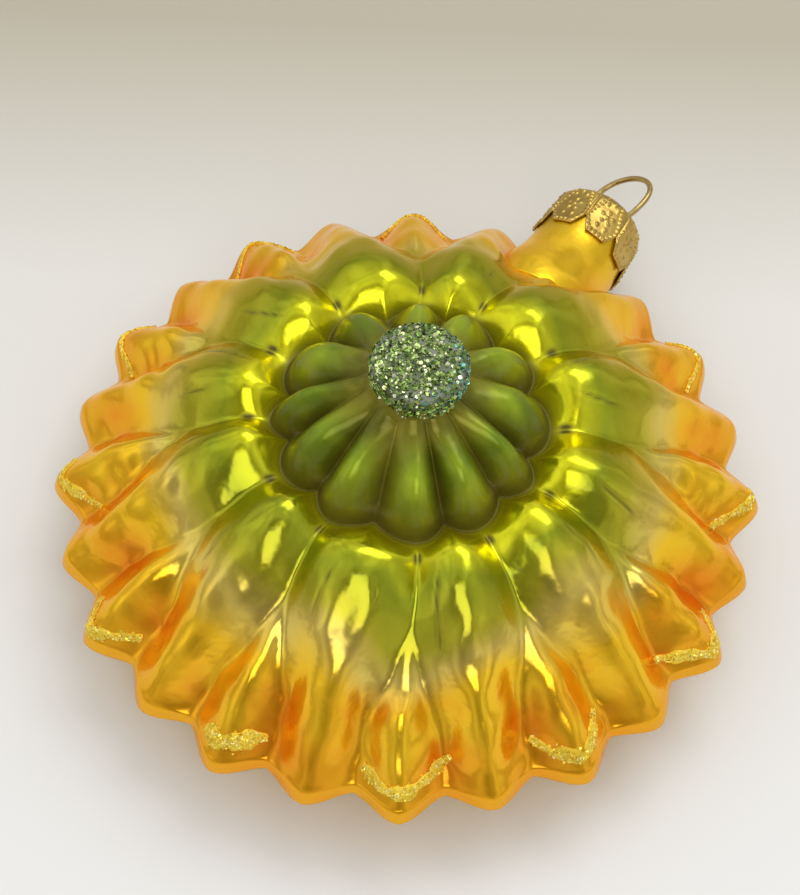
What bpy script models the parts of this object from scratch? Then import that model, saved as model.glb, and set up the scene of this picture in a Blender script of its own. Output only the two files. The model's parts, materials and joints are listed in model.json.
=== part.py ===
"""Mouth-blown glass sunflower ornament, lying face down with its hanger loop towards +Y.

Metres, +Z up. The origin is the middle of the flat seed disc, on the surface that the flower lies on.
The blown glass is one hollow piece: seed disc, petals, calyx, stem stub and neck. A stamped crown cap
closes the neck, a sprung wire hangs it, and coarse glitter covers the stub and edges eleven petals.
"""

import math

import bmesh
import bpy
from mathutils import Matrix, Vector

# Driving dimensions
TIP_RADIUS = 0.050  # flower axis to the tips of the front petals
RIM_HEIGHT = 0.011  # surface to the plane of the petal tips
FRONT_TIP = 1.000  # radii of the outline, as shares of TIP_RADIUS
BACK_TIP = 0.985
VALLEY = 0.922
PETAL_PITCH = math.radians(30)  # twelve front petals, with twelve back petals between them
TIP_ROUNDNESS = 1.3
RIDGE_ROUNDNESS = 1.3  # lobes and petals: 1 is a parabola with sharp creases, more rounds the creases
WALL = 0.0010  # least glass thickness
GAP = 0.0003  # between pieces that touch in the real ornament

STUB_RADIUS = 0.0057
STUB_TOP = 0.0331  # above the rim plane
STUB_OFFSET = (0.0008, 0.0004)
STEM_GLITTER = 0.0006  # crust thickness
STEM_GLITTER_DROP = 0.0036  # how far the crust comes down the stub

NECK_X = -0.0005  # the neck was drawn a little off the flower's middle
NECK_RADIUS = 0.0064  # under the cap
NECK_BORE = 0.0054
MOUTH_Y = 0.0574
MOUTH_BEVEL = 0.0009
CAP_TOP_Y = 0.0589
CAP_EDGE_Y = 0.0503
CAP_METAL = 0.0004
CAP_LOBES = 8
CAP_LOBE_TURN = math.radians(21)  # middle of one lobe, from +Z towards +X
NOTCH_Y = 0.0529
NOTCH_HALF_WIDTH = 0.0015  # at the skirt edge

WIRE_RADIUS = 0.00045
LOOP_TURN = math.radians(34)  # plane of the loop, from level, +X side up
LOOP_MIDDLE_Y = 0.0640
LOOP_HALF_WIDTH = 0.0051
LOOP_RISE = 0.0046  # from the middle to the far end
LOOP_FALL = 0.0066  # the nearer half is longer, and runs into the cap
WIRE_HOLE_RADIUS = 0.0011
LEG_SPREAD = 0.0040  # of the two spring legs in the neck
LEG_END_Y = 0.0465

TRIM_RADIUS = 0.0007
TRIM_GAP = 0.0005  # clears the glass in the creases too, where a bead bridges them

# The calyx's lobes and the petals' inner ends meet in a scalloped groove: its share of the way out behind
# a front petal, how much nearer the axis it runs behind a back petal, and the height of its floor.
GROOVE_SHARE, GROOVE_BEND, GROOVE_FLOOR = 0.378, 0.048, 0.385
LOBE_CREASE = 0.055  # depth of the creases between the lobes
INNER_END = 0.47  # share where the rounded inner ends of the back petals reach full height

# Meridians: (share of the way from axis to outline, height over the rim plane as a share of TIP_RADIUS)
LOBE_RIDGE = (
    (0.00, 0.585), (0.33, 0.582), (0.45, 0.568), (0.58, 0.552), (0.72, 0.530), (0.84, 0.492), (0.93, 0.442), (1.00, 0.385),
)
BACK_RIDGE = (
    (0.33, 0.440), (0.40, 0.455), (0.47, 0.456), (0.55, 0.428), (0.65, 0.362), (0.75, 0.280),
    (0.85, 0.186), (0.93, 0.102), (0.97, 0.055), (0.99, 0.028), (1.00, 0.0),
)
FRONT_RIDGE = (
    (0.62, 0.318), (0.70, 0.276), (0.80, 0.208), (0.90, 0.124), (0.95, 0.075), (0.98, 0.042), (0.99, 0.028), (1.00, 0.0),
)
CREASE = (
    (0.33, 0.400), (0.42, 0.402), (0.50, 0.380), (0.60, 0.318), (0.70, 0.240), (0.80, 0.160),
    (0.90, 0.084), (0.95, 0.048), (0.98, 0.026), (0.99, 0.018), (1.00, 0.0),
)
BACK_PETAL_WIDTH = ((0.58, 1.00), (0.68, 0.82), (0.79, 0.61), (0.90, 0.50), (1.00, 0.48))
FACE_RIDGE = (
    (0.00, -0.220), (0.25, -0.220), (0.35, -0.205), (0.42, -0.165), (0.45, -0.125), (0.50, -0.148),
    (0.60, -0.145), (0.70, -0.128), (0.80, -0.105), (0.90, -0.076), (0.96, -0.050), (0.985, -0.032), (1.00, 0.0),
)
FACE_CREASE = (
    (0.00, -0.220), (0.25, -0.220), (0.35, -0.205), (0.42, -0.165), (0.45, -0.115), (0.50, -0.110),
    (0.60, -0.105), (0.70, -0.090), (0.80, -0.070), (0.90, -0.050), (0.96, -0.034), (0.985, -0.022), (1.00, 0.0),
)
BACK_RINGS = (
    0.12, 0.17, 0.23, 0.28, 0.32, 0.345, 0.365, 0.385, 0.41, 0.44, 0.48, 0.55, 0.62, 0.70, 0.78, 0.86, 0.93, 0.98,
)
FACE_RINGS = (0.14, 0.25, 0.35, 0.42, 0.45, 0.52, 0.64, 0.76, 0.88, 0.97)
SEGMENTS = 96  # four round each petal tip

HOLLOW_OUTLINE = 0.87
HOLLOW_RINGS = 12
HOLLOW_SEGMENTS = 48

NECK_PROFILE = (
    (0.0030, 0.026), (0.0070, 0.034), (0.0085, 0.041), (0.0082, 0.045), (0.0076, 0.048), (0.0071, 0.0505), (0.0066, 0.053),
)
CAP_PROFILE = (
    (0.0, CAP_TOP_Y), (0.0051, CAP_TOP_Y), (0.0065, 0.0585), (0.0074, 0.0575), (0.0079, 0.0560),
    (0.0081, NOTCH_Y), (0.0083, CAP_EDGE_Y),
)

# Glitter line on each front petal, clockwise from the neck: where it starts and ends, in half pitches
# from the petal's middle, and how far out it runs at its middle and at its ends.
TRIM_LINES = (
    (-0.30, 0.45, 0.965, 0.930), (-0.10, 0.52, 0.968, 0.915), (-0.35, 0.55, 0.972, 0.920),
    (-0.42, 0.45, 0.965, 0.915), (-0.60, 0.42, 0.965, 0.925), (-0.42, 0.22, 0.955, 0.930),
    (-0.42, 0.30, 0.972, 0.930), (-0.50, 0.20, 0.972, 0.920), (-0.50, 0.30, 0.968, 0.930),
    (-0.45, 0.40, 0.970, 0.930), (-0.42, 0.42, 0.968, 0.935),
)
TRIM_POINTS = 9


def clear_scene():
    for obj in list(bpy.data.objects):
        bpy.data.objects.remove(obj, do_unlink=True)


def new_collection(name):
    collection = bpy.data.collections.new(name)
    bpy.context.scene.collection.children.link(collection)
    return collection


def material(name, colour, metallic, roughness, coat=0.0):
    made = bpy.data.materials.new(name)
    made.use_nodes = True
    shader = made.node_tree.nodes["Principled BSDF"]
    shader.inputs["Base Color"].default_value = (*colour, 1.0)
    shader.inputs["Metallic"].default_value = metallic
    shader.inputs["Roughness"].default_value = roughness
    shader.inputs["Coat Weight"].default_value = coat
    return made


def mesh_object(name, bm, collection, finish=None):
    """An object from a bmesh, with its normals turned out and its round faces smooth."""
    bmesh.ops.recalc_face_normals(bm, faces=bm.faces)
    mesh = bpy.data.meshes.new(name)
    bm.to_mesh(mesh)
    bm.free()
    mesh.shade_smooth()
    mesh.set_sharp_from_angle(angle=math.radians(40))
    obj = bpy.data.objects.new(name, mesh)
    collection.objects.link(obj)
    if finish:
        mesh.materials.append(finish)
    return obj


def as_cutter(obj):
    obj.hide_render = True
    obj.display_type = "WIRE"
    return obj


def boolean(obj, operation, other):
    modifier = obj.modifiers.new(operation.lower(), "BOOLEAN")
    modifier.operation = operation
    modifier.object = other


def along(knots, share):
    """The value at a share, on a smooth curve through the knots."""
    share = min(max(share, knots[0][0]), knots[-1][0])
    i = max(j for j in range(len(knots) - 1) if knots[j][0] <= share)

    def slope(j):
        before, after = knots[max(j - 1, 0)], knots[min(j + 1, len(knots) - 1)]
        return (after[1] - before[1]) / (after[0] - before[0])

    (q0, z0), (q1, z1) = knots[i], knots[i + 1]
    step = q1 - q0
    t = (share - q0) / step
    return (
        z0 * (1 + 2 * t) * (1 - t) ** 2
        + z1 * t * t * (3 - 2 * t)
        + step * slope(i) * t * (1 - t) ** 2
        + step * slope(i + 1) * t * t * (t - 1)
    )


def smooth(low, high, value):
    t = min(max((value - low) / (high - low), 0.0), 1.0)
    return t * t * (3 - 2 * t)


def phase(turn):
    """0 on the middle of a front petal, 1 on the middle of a back petal; turn is clockwise from +Y."""
    return 2 * abs((turn / PETAL_PITCH + 0.5) % 1.0 - 0.5)


def outline(turn):
    """Radius of the scalloped outline, as a share of TIP_RADIUS."""
    across = phase(turn)
    tip = FRONT_TIP if across < 0.5 else BACK_TIP
    return VALLEY + (tip - VALLEY) * (1 - (2 * min(across, 1 - across)) ** TIP_ROUNDNESS)


def groove_share(across):
    return GROOVE_SHARE - GROOVE_BEND * across**2


def hump(offset):
    """1 on the middle of a ridge and 0 in the creases beside it, at offset 1."""
    return (1 - min(offset, 1.0) ** 2) ** RIDGE_ROUNDNESS


def lobe_height(share, across):
    """Calyx lobes, one behind each front petal, with rounded outer ends and creases between them."""
    reach = share / groove_share(across)
    depth = LOBE_CREASE * smooth(0.30, 0.75, reach) * (1 - smooth(0.85, 1.0, reach))
    return along(LOBE_RIDGE, reach) - depth * (1 - hump(across))


def petal_height(share, across, rise):
    """Back petals side by side; the front petals between them rise towards the outline, by their full height at 1."""
    width = along(BACK_PETAL_WIDTH, share)
    crease = along(CREASE, share)
    if 1 - across <= width:
        height = crease + (along(BACK_RIDGE, share) - crease) * hump((1 - across) / width)
    else:
        ridge = (along(FRONT_RIDGE, share) - crease) * smooth(0.60, 0.80, share) * rise
        height = crease + ridge * hump(across / (1 - width))
    start = groove_share(across)
    inner = min(max((share - start) / (INNER_END - start), 0.0), 1.0)
    return GROOVE_FLOOR + (height - GROOVE_FLOOR) * (1 - (1 - inner) ** 2.2)


def back_height(share, turn):
    """The calyx, and the petals outside it; the neck leaves the glass where one front petal would rise."""
    across = phase(turn)
    if share < groove_share(across):
        return lobe_height(share, across)
    at_neck = abs(math.remainder(turn, 2 * math.pi)) < PETAL_PITCH / 2
    return petal_height(share, across, 0.0 if at_neck else 1.0)


def face_height(share, turn):
    """The side the flower lies on: flat in the middle of the seed disc, with low petals round it."""
    across = phase(turn)
    ridge, crease = along(FACE_RIDGE, share), along(FACE_CREASE, share)
    return max(ridge + (crease - ridge) * across**2, -RIM_HEIGHT / TIP_RADIUS)


def glass_point(share, turn, height):
    """World point at a share of the way out to the outline, with its height over the rim plane as a share."""
    radius = share * (1 - smooth(0.6, 1.0, share) * (1 - outline(turn))) * TIP_RADIUS
    return Vector((radius * math.sin(turn), radius * math.cos(turn), RIM_HEIGHT + height * TIP_RADIUS))


def on_back(share, turn):
    """(point, outward normal) on the back of the glass."""
    step = 0.004
    point = glass_point(share, turn, back_height(share, turn))
    inward = glass_point(share - step, turn, back_height(share - step, turn)) - point
    sideways = glass_point(share, turn + step, back_height(share, turn + step)) - point
    return point, inward.cross(sideways).normalized()


def stub_rings():
    """(radius, height over the rim plane) of the rings that turn the stem stub, top edge first."""
    foot = LOBE_RIDGE[0][1] * TIP_RADIUS
    return ((STUB_RADIUS - 0.0006, STUB_TOP), (STUB_RADIUS, STUB_TOP - 0.0006), (STUB_RADIUS, foot))


def flower_solid(collection, finish):
    """The outside of disc, petals, calyx and stub: a UV sphere whose rings are laid on the meridians."""
    stub = stub_rings()
    rings = len(stub) + len(BACK_RINGS) + 1 + len(FACE_RINGS) + 1
    bm = bmesh.new()
    bmesh.ops.create_uvsphere(bm, u_segments=SEGMENTS, v_segments=rings, radius=1.0)
    for vert in bm.verts:
        ring = round(math.acos(max(-1.0, min(1.0, vert.co.z))) / math.pi * rings) - 1
        turn = math.atan2(vert.co.x, vert.co.y)
        back_ring = ring - len(stub)
        face_ring = back_ring - len(BACK_RINGS) - 1
        if ring < 0:
            vert.co = (*STUB_OFFSET, RIM_HEIGHT + STUB_TOP)
        elif back_ring < 0:
            radius, height = stub[ring]
            place = Vector((math.sin(turn), math.cos(turn), 0)) * radius
            vert.co = place + Vector((*STUB_OFFSET, RIM_HEIGHT + height))
        elif back_ring < len(BACK_RINGS):
            share = BACK_RINGS[back_ring]
            vert.co = glass_point(share, turn, back_height(share, turn))
        elif face_ring < 0:
            vert.co = glass_point(1.0, turn, 0.0)
        elif face_ring < len(FACE_RINGS):
            share = FACE_RINGS[-1 - face_ring]
            vert.co = glass_point(share, turn, face_height(share, turn))
        else:
            vert.co = (0.0, 0.0, 0.0)
    return mesh_object("glass_body", bm, collection, finish)


def lowest_back(share):
    """The lowest height of the back near a share, in the deepest crease there."""
    outer = share * (1 + 0.09 * smooth(0.6, 1.0, share))
    turns = [PETAL_PITCH * (1 + i / 16) for i in range(9)]
    return min(back_height(near, turn) for near in (share - 0.015, share + 0.015, outer) for turn in turns)


def hollow_solid(collection):
    """The air inside the flower: a smooth form that clears every crease by the wall."""
    bm = bmesh.new()
    bmesh.ops.create_uvsphere(bm, u_segments=HOLLOW_SEGMENTS, v_segments=2 * HOLLOW_RINGS, radius=1.0)
    wall = 1.4 * WALL / TIP_RADIUS
    for vert in bm.verts:
        share = HOLLOW_OUTLINE * min(1.0, math.hypot(vert.co.x, vert.co.y))
        turn = math.atan2(vert.co.x, vert.co.y)
        top = lowest_back(share) - wall
        base = face_height(share, PETAL_PITCH / 2) + wall
        height = top if vert.co.z > 0.001 else base if vert.co.z < -0.001 else (top + base) / 2
        radius = share * TIP_RADIUS
        vert.co = (radius * math.sin(turn), radius * math.cos(turn), RIM_HEIGHT + height * TIP_RADIUS)
    return as_cutter(mesh_object("hollow", bm, collection))


def turned(name, profile, steps, collection, finish=None):
    """A profile of (radius, y) turned round the neck's axis."""
    bm = bmesh.new()
    verts = [bm.verts.new((radius, 0.0, y)) for radius, y in profile]
    for first, second in zip(verts, verts[1:]):
        bm.edges.new((first, second))
    mesh = bpy.data.meshes.new(name)
    bm.to_mesh(mesh)
    bm.free()
    obj = bpy.data.objects.new(name, mesh)
    collection.objects.link(obj)
    screw = obj.modifiers.new("turn", "SCREW")
    screw.steps = screw.render_steps = steps
    screw.use_merge_vertices = True
    screw.merge_threshold = 0.00001
    screw.use_smooth_shade = True
    obj.location = (NECK_X, 0.0, RIM_HEIGHT)
    obj.rotation_euler = (math.radians(-90), 0.0, 0.0)
    if finish:
        mesh.materials.append(finish)
    return obj


def glass_body(parts, cutters, finish):
    body = flower_solid(parts, finish)
    mouth = ((0.0, MOUTH_Y), (NECK_RADIUS - MOUTH_BEVEL, MOUTH_Y), (NECK_RADIUS, MOUTH_Y - MOUTH_BEVEL))
    neck = turned("neck", (*mouth, *reversed(NECK_PROFILE), (0.0, 0.024)), 40, cutters)
    bore = ((0.0, 0.070), (NECK_BORE, 0.070), (NECK_BORE, 0.036), (0.0, 0.034))
    neck_bore = turned("neck_bore", bore, 32, cutters)
    boolean(body, "UNION", as_cutter(neck))
    boolean(body, "DIFFERENCE", hollow_solid(cutters))
    boolean(body, "DIFFERENCE", as_cutter(neck_bore))
    return body


def stem_glitter(parts, finish):
    """The crust of glitter over the stub's flat end and the top of its side."""
    top = STUB_TOP + GAP + STEM_GLITTER
    inside, outside = STUB_RADIUS + GAP, STUB_RADIUS + GAP + STEM_GLITTER
    foot = STUB_TOP - STEM_GLITTER_DROP
    profile = (
        (0.0, top), (outside - 0.0006, top), (outside, top - 0.0006), (outside, foot),
        (inside, foot), (inside, STUB_TOP + GAP), (0.0, STUB_TOP + GAP),
    )
    crust = turned("stem_glitter", profile, 40, parts, finish)
    crust.location = (*STUB_OFFSET, RIM_HEIGHT)
    crust.rotation_euler = (0.0, 0.0, 0.0)
    return crust


def notch_cutters(collection):
    """Wedges that cut the skirt into pointed scales: one mesh, a closed prism between each two lobes."""
    bm = bmesh.new()
    below = CAP_EDGE_Y - 0.001
    slope = NOTCH_HALF_WIDTH / (NOTCH_Y - CAP_EDGE_Y)
    half = slope * (NOTCH_Y - below)
    for lobe in range(CAP_LOBES):
        turn = CAP_LOBE_TURN + (lobe + 0.5) * 2 * math.pi / CAP_LOBES
        made = bmesh.ops.create_cone(bm, cap_ends=True, segments=3, radius1=1.0, radius2=1.0, depth=0.0024)
        corners = ((0.0, NOTCH_Y), (half, below), (-half, below))
        for i, vert in enumerate(sorted(made["verts"], key=lambda v: (v.co.z, math.atan2(v.co.x, v.co.y)))):
            side, y = corners[i % 3]
            vert.co = Vector((side, y, 0.0080 + vert.co.z))
        bmesh.ops.rotate(bm, verts=made["verts"], matrix=Matrix.Rotation(turn, 3, "Y"))
    bmesh.ops.translate(bm, verts=bm.verts, vec=(NECK_X, 0.0, RIM_HEIGHT))
    return as_cutter(mesh_object("notches", bm, collection))


def loop_frame():
    """Turns the plane of the loop about the neck's axis."""
    return Matrix.Translation((0.0, 0.0, RIM_HEIGHT)) @ Matrix.Rotation(-LOOP_TURN, 4, "Y")


def wire_hole_cutters(collection):
    bm = bmesh.new()
    for side in (-1, 1):
        upright = Matrix.Rotation(math.radians(90), 4, "X")
        spread = side * loop_point(loop_entry())[0]
        place = loop_frame() @ Matrix.Translation((spread, CAP_TOP_Y, 0.0)) @ upright
        bmesh.ops.create_cone(
            bm, cap_ends=True, segments=16, radius1=WIRE_HOLE_RADIUS, radius2=WIRE_HOLE_RADIUS,
            depth=0.003, matrix=place,
        )
    return as_cutter(mesh_object("wire_holes", bm, collection))


def crown_cap(parts, cutters, finish):
    cap = turned("crown_cap", CAP_PROFILE, 48, parts, finish)
    shell = cap.modifiers.new("metal", "SOLIDIFY")
    shell.thickness = CAP_METAL
    shell.offset = -1.0
    shell.use_even_offset = True
    boolean(cap, "DIFFERENCE", notch_cutters(cutters))
    boolean(cap, "DIFFERENCE", wire_hole_cutters(cutters))
    return cap


def loop_point(angle):
    """(side, y) on the loop, at an angle from its widest place towards its far end."""
    height = LOOP_RISE if angle > 0 and angle < math.pi else LOOP_FALL
    return LOOP_HALF_WIDTH * math.cos(angle), LOOP_MIDDLE_Y + height * math.sin(angle)


def loop_entry():
    """The angle on the loop where the wire enters the cap."""
    return math.asin((CAP_TOP_Y - LOOP_MIDDLE_Y) / LOOP_FALL)


def wire_route():
    """One side's leg, the loop, and the other leg, in the plane of the loop."""
    entry, steps = loop_entry(), 24
    loop = [loop_point(entry + (math.pi - 2 * entry) * i / steps) for i in range(steps + 1)]
    leg = ((LEG_SPREAD, LEG_END_Y), (LEG_SPREAD, 0.0500), (0.0037, 0.0545), (0.0033, 0.0575))
    return [*leg, *loop, *[(-side, y) for side, y in reversed(leg)]]


def hanger_wire(parts, finish):
    curve = bpy.data.curves.new("hanger_wire", "CURVE")
    curve.dimensions = "3D"
    curve.bevel_depth = WIRE_RADIUS
    curve.bevel_resolution = 2
    curve.use_fill_caps = True
    route = wire_route()
    spline = curve.splines.new("POLY")
    spline.points.add(len(route) - 1)
    frame = loop_frame()
    for point, (side, y) in zip(spline.points, route):
        point.co = (*(frame @ Vector((side, y, 0.0))), 1.0)
    wire = bpy.data.objects.new("hanger_wire", curve)
    parts.objects.link(wire)
    curve.materials.append(finish)
    return wire


def petal_glitter(number, line, parts, finish):
    """One bead of glitter, laid on the glass just inside a front petal's tip."""
    start, end, out_middle, out_ends = line
    curve = bpy.data.curves.new(f"petal_glitter_{number:02d}", "CURVE")
    curve.dimensions = "3D"
    curve.bevel_depth = TRIM_RADIUS
    curve.bevel_resolution = 2
    curve.use_fill_caps = True
    spline = curve.splines.new("POLY")
    spline.points.add(TRIM_POINTS - 1)
    reach = max(-start, end)
    for i, point in enumerate(spline.points):
        aside = start + (end - start) * i / (TRIM_POINTS - 1)
        share = out_middle - (out_middle - out_ends) * (abs(aside) / reach) ** 1.6
        place, normal = on_back(share, number * PETAL_PITCH + aside * PETAL_PITCH / 2)
        point.co = (*(place + normal * (TRIM_RADIUS + TRIM_GAP)), 1.0)
    bead = bpy.data.objects.new(curve.name, curve)
    parts.objects.link(bead)
    curve.materials.append(finish)
    return bead


def main():
    clear_scene()
    parts = new_collection("glass_sunflower_ornament")
    cutters = new_collection("cutters")
    glass = material("lacquered_glass", (0.80, 0.42, 0.03), 0.9, 0.25, coat=1.0)
    stem_flakes = material("green_glitter", (0.45, 0.55, 0.30), 0.8, 0.3)
    petal_flakes = material("gold_glitter", (0.90, 0.72, 0.15), 0.8, 0.3)
    brass = material("gold_cap_metal", (0.72, 0.53, 0.20), 1.0, 0.3)
    glass_body(parts, cutters, glass)
    stem_glitter(parts, stem_flakes)
    for number, line in enumerate(TRIM_LINES, start=1):
        petal_glitter(number, line, parts, petal_flakes)
    crown_cap(parts, cutters, brass)
    hanger_wire(parts, brass)


main()
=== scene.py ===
"""Looks of the glass sunflower ornament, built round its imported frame.

Metres, +Z up, in the frame's own axes: the flower lies face down, its stem stub up and its hanger loop
towards +Y. "Share" is the way from the flower's axis to its outline, and a "turn" is an angle clockwise
from +Y. Heights in the meridians are shares of the tip radius, over the plane of the petal tips.
"""

import json
import math

import bpy
import numpy as np
from mathutils import Matrix, Vector


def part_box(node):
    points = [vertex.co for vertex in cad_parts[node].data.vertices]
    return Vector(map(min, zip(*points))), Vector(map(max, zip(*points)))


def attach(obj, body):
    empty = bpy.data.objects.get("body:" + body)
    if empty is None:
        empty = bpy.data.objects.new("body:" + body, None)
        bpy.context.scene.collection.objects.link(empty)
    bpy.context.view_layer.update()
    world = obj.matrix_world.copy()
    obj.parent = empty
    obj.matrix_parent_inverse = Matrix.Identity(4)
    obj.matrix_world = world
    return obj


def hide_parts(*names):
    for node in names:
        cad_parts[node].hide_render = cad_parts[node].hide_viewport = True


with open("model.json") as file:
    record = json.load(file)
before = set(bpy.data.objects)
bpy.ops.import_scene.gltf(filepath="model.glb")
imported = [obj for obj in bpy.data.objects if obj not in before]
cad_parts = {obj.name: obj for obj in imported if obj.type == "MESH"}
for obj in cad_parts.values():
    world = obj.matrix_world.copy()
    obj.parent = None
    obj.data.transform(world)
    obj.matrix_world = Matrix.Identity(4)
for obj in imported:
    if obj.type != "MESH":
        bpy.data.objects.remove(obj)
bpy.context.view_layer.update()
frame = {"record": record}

# Sizes read from the frame
glass_low, glass_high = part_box("glass_body")
crust_low, crust_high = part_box("stem_glitter")
cap_low, cap_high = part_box("crown_cap")
wire_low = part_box("hanger_wire")[0]
TIP = (glass_high.x - glass_low.x) / 2
RIM = next(m["pos_m"][2] for m in frame["record"]["mounts"] if m["name"] == "hanger_loop")
STUB_X, STUB_Y = (crust_low.x + crust_high.x) / 2, (crust_low.y + crust_high.y) / 2
CRUST_RADIUS = (crust_high.x - crust_low.x) / 2
CRUST_TOP = crust_high.z
NECK_X = (cap_low.x + cap_high.x) / 2
CAP_EDGE, CAP_TOP = cap_low.y, cap_high.y
CAP_RADIUS = (cap_high.x - cap_low.x) / 2

# The glass form: its numbers, and then its ridges and creases as (share, height) knots
PETALS = 12
PITCH = 2 * math.pi / PETALS
FRONT_TIP, BACK_TIP, VALLEY = 1.0, 0.985, 0.922
POINTED = 0.4            # how much of the outline is pointed; the rest is rounded
COLUMNS = 480
CRUST_DEPTH = 0.0009
STUB_RADIUS, STUB_TOP = CRUST_RADIUS - CRUST_DEPTH, CRUST_TOP - CRUST_DEPTH
STUB_FILLET = 0.0006
GROOVE_SHARE, GROOVE_BEND, GROOVE_FLOOR = 0.378, 0.048, 0.385
LOBE_CREASE = 0.062
INNER_END = 0.47         # share by which a back petal has risen out of the groove
CREASE_SOFTNESS = 1.3
LOBE_RIDGE = (
    (0.00, 0.620), (0.33, 0.596), (0.42, 0.572), (0.52, 0.558), (0.62, 0.548), (0.74, 0.528),
    (0.85, 0.490), (0.94, 0.438), (1.00, 0.388),
)
BACK_RIDGE = (
    (0.33, 0.440), (0.40, 0.455), (0.47, 0.456), (0.55, 0.428), (0.65, 0.362), (0.75, 0.280),
    (0.85, 0.186), (0.93, 0.102), (0.97, 0.060), (0.99, 0.036), (1.00, 0.0),
)
FRONT_RIDGE = (
    (0.62, 0.318), (0.70, 0.276), (0.80, 0.208), (0.90, 0.124), (0.95, 0.077), (0.98, 0.046),
    (0.99, 0.035), (1.00, 0.0),
)
CREASE = (
    (0.33, 0.400), (0.42, 0.402), (0.50, 0.380), (0.60, 0.318), (0.70, 0.240), (0.80, 0.160),
    (0.90, 0.086), (0.95, 0.052), (0.98, 0.032), (0.99, 0.025), (1.00, 0.0),
)
# Half width of a back petal along its length; 1 reaches the middles of the front petals beside it
BACK_PETAL_WIDTH = ((0.58, 1.00), (0.68, 0.82), (0.79, 0.61), (0.90, 0.50), (1.00, 0.48))
FACE_RIDGE = (
    (0.00, -0.220), (0.25, -0.220), (0.35, -0.205), (0.42, -0.165), (0.45, -0.125), (0.50, -0.148),
    (0.60, -0.145), (0.70, -0.128), (0.80, -0.105), (0.90, -0.076), (0.96, -0.050), (0.985, -0.032),
    (1.00, 0.0),
)
FACE_CREASE = (
    (0.00, -0.220), (0.25, -0.220), (0.35, -0.205), (0.42, -0.165), (0.45, -0.115), (0.50, -0.110),
    (0.60, -0.105), (0.70, -0.090), (0.80, -0.070), (0.90, -0.050), (0.96, -0.034), (0.985, -0.022),
    (1.00, 0.0),
)

# The seeds on the face: their number, spiral step and radius, how deep they are cut, and the disc's edge
SEEDS = 420
SEED_STEP = math.radians(137.508)
SEED_SPREAD, SEED_RADIUS, SEED_DEPTH = 0.00098, 0.00105, 0.0005
DISC_EDGE = (0.40, 0.43)

# The blower's hand: slow waves of the surface, and thin folds that run along each back petal
chance = np.random.default_rng(29)
WAVES, WAVE_HEIGHT = 20, 0.0064
WAVE_TURNS = chance.uniform(0, 2 * math.pi, WAVES)
WAVE_NUMBERS = chance.uniform(20, 76, WAVES)
WAVE_STARTS = chance.uniform(0, 2 * math.pi, WAVES)
FOLDS = chance.uniform(-1, 1, (PETALS, 6))
FOLD_DEPTH, FOLD_WIDTH = 0.0030, 0.024

# Glitter line on each front petal, clockwise from the neck: where it starts and ends, in half pitches
# from the petal's middle, how far out it runs at its middle and at its ends, and its width.
TRIM_LINES = (
    (-0.30, 0.45, 0.968, 0.935, 0.0007),
    (-0.10, 0.52, 0.972, 0.915, 0.0014),
    (-0.35, 0.55, 0.972, 0.920, 0.0019),
    (-0.42, 0.45, 0.955, 0.905, 0.0019),
    (-0.60, 0.42, 0.955, 0.905, 0.0020),
    (-0.42, 0.22, 0.945, 0.925, 0.0026),
    (-0.42, 0.30, 0.972, 0.930, 0.0016),
    (-0.50, 0.20, 0.972, 0.920, 0.0014),
    (-0.50, 0.30, 0.972, 0.935, 0.0008),
    (-0.45, 0.40, 0.974, 0.935, 0.0006),
    (-0.42, 0.42, 0.972, 0.940, 0.0006),
)


# ---------------------------------------------------------------- shape functions

def along(knots, share):
    """Values at shares, on a smooth curve through the knots."""
    q, z = np.array(knots).T
    share = np.clip(share, q[0], q[-1])
    i = np.clip(np.searchsorted(q, share, side="right") - 1, 0, len(q) - 2)
    ends = np.arange(len(q))
    before, after = np.maximum(ends - 1, 0), np.minimum(ends + 1, len(q) - 1)
    slope = (z[after] - z[before]) / (q[after] - q[before])
    step = q[i + 1] - q[i]
    t = (share - q[i]) / step
    return (
        z[i] * (1 + 2 * t) * (1 - t) ** 2 + z[i + 1] * t * t * (3 - 2 * t)
        + step * slope[i] * t * (1 - t) ** 2 + step * slope[i + 1] * t * t * (t - 1)
    )


def smooth(low, high, value):
    """0 at low and 1 at high, with a soft start and end."""
    t = np.clip((value - low) / (high - low), 0.0, 1.0)
    return t * t * (3 - 2 * t)


def bell(offset):
    """1 at offset 0, falling away on both sides."""
    return np.exp(-np.square(offset))


def unit(vectors):
    return vectors / np.linalg.norm(vectors, axis=-1, keepdims=True)


def phase(turn):
    """0 on the middle of a front petal, 1 on the middle of a back petal."""
    return 2 * np.abs((turn / PITCH + 0.5) % 1.0 - 0.5)


def back_petal(turn):
    """(number of the back petal at a turn, offset from its middle, which is -1 to 1)."""
    place = turn / PITCH
    return np.floor(place).astype(int) % PETALS, 2 * (place % 1.0) - 1


def outline(turn):
    """Radius of the rim at a turn, as a share of the tip radius."""
    across = phase(turn)
    tip = np.where(across < 0.5, FRONT_TIP, BACK_TIP)
    off = 2 * np.minimum(across, 1 - across)
    rounded = 0.5 + 0.5 * np.cos(math.pi * off)
    return VALLEY + (tip - VALLEY) * (POINTED * (1 - off**1.3) + (1 - POINTED) * rounded)


def hump(offset, softness=CREASE_SOFTNESS):
    """1 on the middle of a ridge and 0 at offset 1; a high softness rounds the creases beside it."""
    return (1 - np.minimum(offset, 1.0) ** 2) ** softness


def groove_share(across):
    """Share of the groove between the calyx and the petals."""
    return GROOVE_SHARE - GROOVE_BEND * across**2


def lobe_height(share, across):
    """Rounded lobes of the calyx, with creases between them."""
    reach = share / groove_share(across)
    depth = LOBE_CREASE * smooth(0.38, 0.80, reach) * (1 - smooth(0.85, 1.0, reach))
    return along(LOBE_RIDGE, reach) - depth * (1 - hump(across))


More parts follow.
